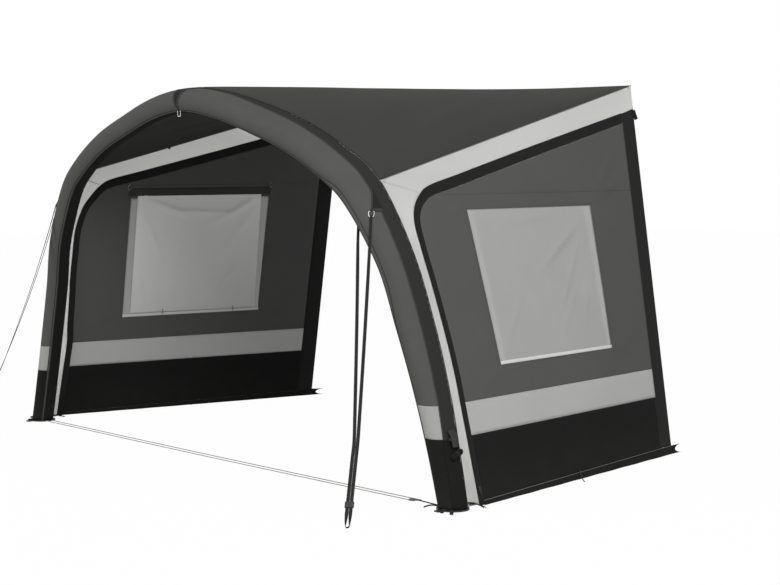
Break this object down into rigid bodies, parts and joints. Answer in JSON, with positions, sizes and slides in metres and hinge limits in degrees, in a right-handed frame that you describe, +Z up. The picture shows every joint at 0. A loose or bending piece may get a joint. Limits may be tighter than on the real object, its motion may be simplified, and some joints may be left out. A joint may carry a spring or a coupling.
{
  "type": "caravan awning",
  "caption": "Inflatable caravan awning with a curved air arch in front, a cloth roof to the caravan's rail and zipped-in side walls with clear windows, open at the front.",
  "frame": {"origin": "on the ground under the middle of the awning's box, without the storm straps", "axes": "+X to the right when one faces the caravan, +Y towards the caravan, +Z up"},
  "size_m": [4.672, 3.2297, 2.4635],
  "materials": {
    "bladder": "translucent air tube film",
    "sleeve_grey": "coated polyester, mid grey",
    "sleeve_dark": "coated polyester, dark grey",
    "sleeve_black": "coated polyester, black",
    "roof_grey": "coated polyester, dark grey",
    "wall_grey": "coated polyester, mid grey",
    "trim_light": "coated polyester, light grey",
    "stripe_light": "coated polyester, light grey",
    "mud_wall": "coated polyester, black",
    "zip_band": "woven tape, black",
    "window_film": "clear film",
    "curtain": "thin lining cloth",
    "black_plastic": "moulded, satin",
    "bright_steel": "plated wire",
    "webbing": "woven webbing, black",
    "cord": "braided cord"
  },
  "bodies": {
    "awning": {"arch_air_tube": "bladder", "arch_front_panel": "sleeve_grey", "arch_outer_panel": "sleeve_dark", "arch_inner_panel": "sleeve_black", "arch_seam_piping": "sleeve_grey", "leg_stripe_left": "stripe_light", "leg_stripe_right": "stripe_light", "leg_gaiter_left": "sleeve_black", "leg_gaiter_right": "sleeve_black", "foot_plate_left": "black_plastic", "foot_plate_right": "black_plastic", "valve_collar": "black_plastic", "valve_roll": "sleeve_black", "apex_patch": "sleeve_dark", "shoulder_patch_left": "sleeve_dark", "shoulder_patch_right": "sleeve_dark", "shoulder_ring_left": "bright_steel", "shoulder_ring_right": "bright_steel", "storm_strap_left": "webbing", "storm_strap_right": "webbing", "ground_cord": "cord", "ground_buckle": "black_plastic", "ground_webbing": "webbing", "roof_panel": "roof_grey", "rail_beading": "black_plastic", "trim_roof_left": "trim_light", "trim_roof_right": "trim_light", "trim_leg_left": "trim_light", "trim_leg_right": "trim_light", "zip_band_left": "zip_band", "zip_band_right": "zip_band", "wall_panel_left": "wall_grey", "wall_panel_right": "wall_grey", "window_film_left": "window_film", "window_film_right": "window_film", "curtain_left": "curtain", "curtain_right": "curtain", "wall_stripe_left": "stripe_light", "wall_stripe_right": "stripe_light", "mud_wall_left": "mud_wall", "mud_wall_right": "mud_wall", "hem_left": "mud_wall", "hem_right": "mud_wall", "rear_pad_left": "zip_band", "rear_pad_right": "zip_band"},
    "apex_ring": {"apex_ring": "bright_steel"},
    "valve_flap": {"valve_flap": "sleeve_dark"},
    "valve_cap": {"valve_cap": "black_plastic"},
    "zip_slider_left": {"zip_slider_left": "black_plastic"},
    "zip_slider_right": {"zip_slider_right": "black_plastic"},
    "zip_pull_left": {"zip_pull_left": "black_plastic"},
    "zip_pull_right": {"zip_pull_right": "black_plastic"},
    "storm_buckle_left": {"storm_buckle_left": "black_plastic"},
    "storm_buckle_right": {"storm_buckle_right": "black_plastic"}
  },
  "joints": [
    {"name": "apex_ring_swing", "type": "hinge", "parent": "awning", "child": "apex_ring", "pos_m": [0, -1.34635, 2.276], "axis": [1, 0, 0], "range_deg": [-110, 30]},
    {"name": "valve_flap_lift", "type": "hinge", "parent": "awning", "child": "valve_flap", "pos_m": [2.19845, -1.03981, 0.44565], "axis": [-0.0411, -0.998, -0.0482], "range_deg": [0, 135]},
    {"name": "valve_cap_turn", "type": "hinge", "parent": "awning", "child": "valve_cap", "pos_m": [2.21738, -1.05439, 0.39376], "axis": [0.9492, 0.1391, 0.2821], "range_deg": [0, 360]},
    {"name": "zip_slider_left_run", "type": "slide", "parent": "awning", "child": "zip_slider_left", "axis": [0.2709, 0, 0.9626], "range_m": [0, 0.6]},
    {"name": "zip_slider_right_run", "type": "slide", "parent": "awning", "child": "zip_slider_right", "axis": [-0.2716, 0, 0.9624], "range_m": [0, 0.6]},
    {"name": "zip_pull_left_swing", "type": "hinge", "parent": "zip_slider_left", "child": "zip_pull_left", "pos_m": [-2.28419, -0.87403, 0.10264], "axis": [0.1602, 0.986, -0.0451], "range_deg": [0, 150]},
    {"name": "zip_pull_right_swing", "type": "hinge", "parent": "zip_slider_right", "child": "zip_pull_right", "pos_m": [2.28685, -0.88921, 0.10265], "axis": [0.1602, -0.9861, 0.0452], "range_deg": [0, 150]},
    {"name": "storm_buckle_left_slide", "type": "slide", "parent": "awning", "child": "storm_buckle_left", "axis": [0.3315, 0.3972, 0.8558], "range_m": [0, 0.28]},
    {"name": "storm_buckle_right_slide", "type": "slide", "parent": "awning", "child": "storm_buckle_right", "axis": [-0.3621, 0.4363, 0.8237], "range_m": [0, 0.28]}
  ]
}
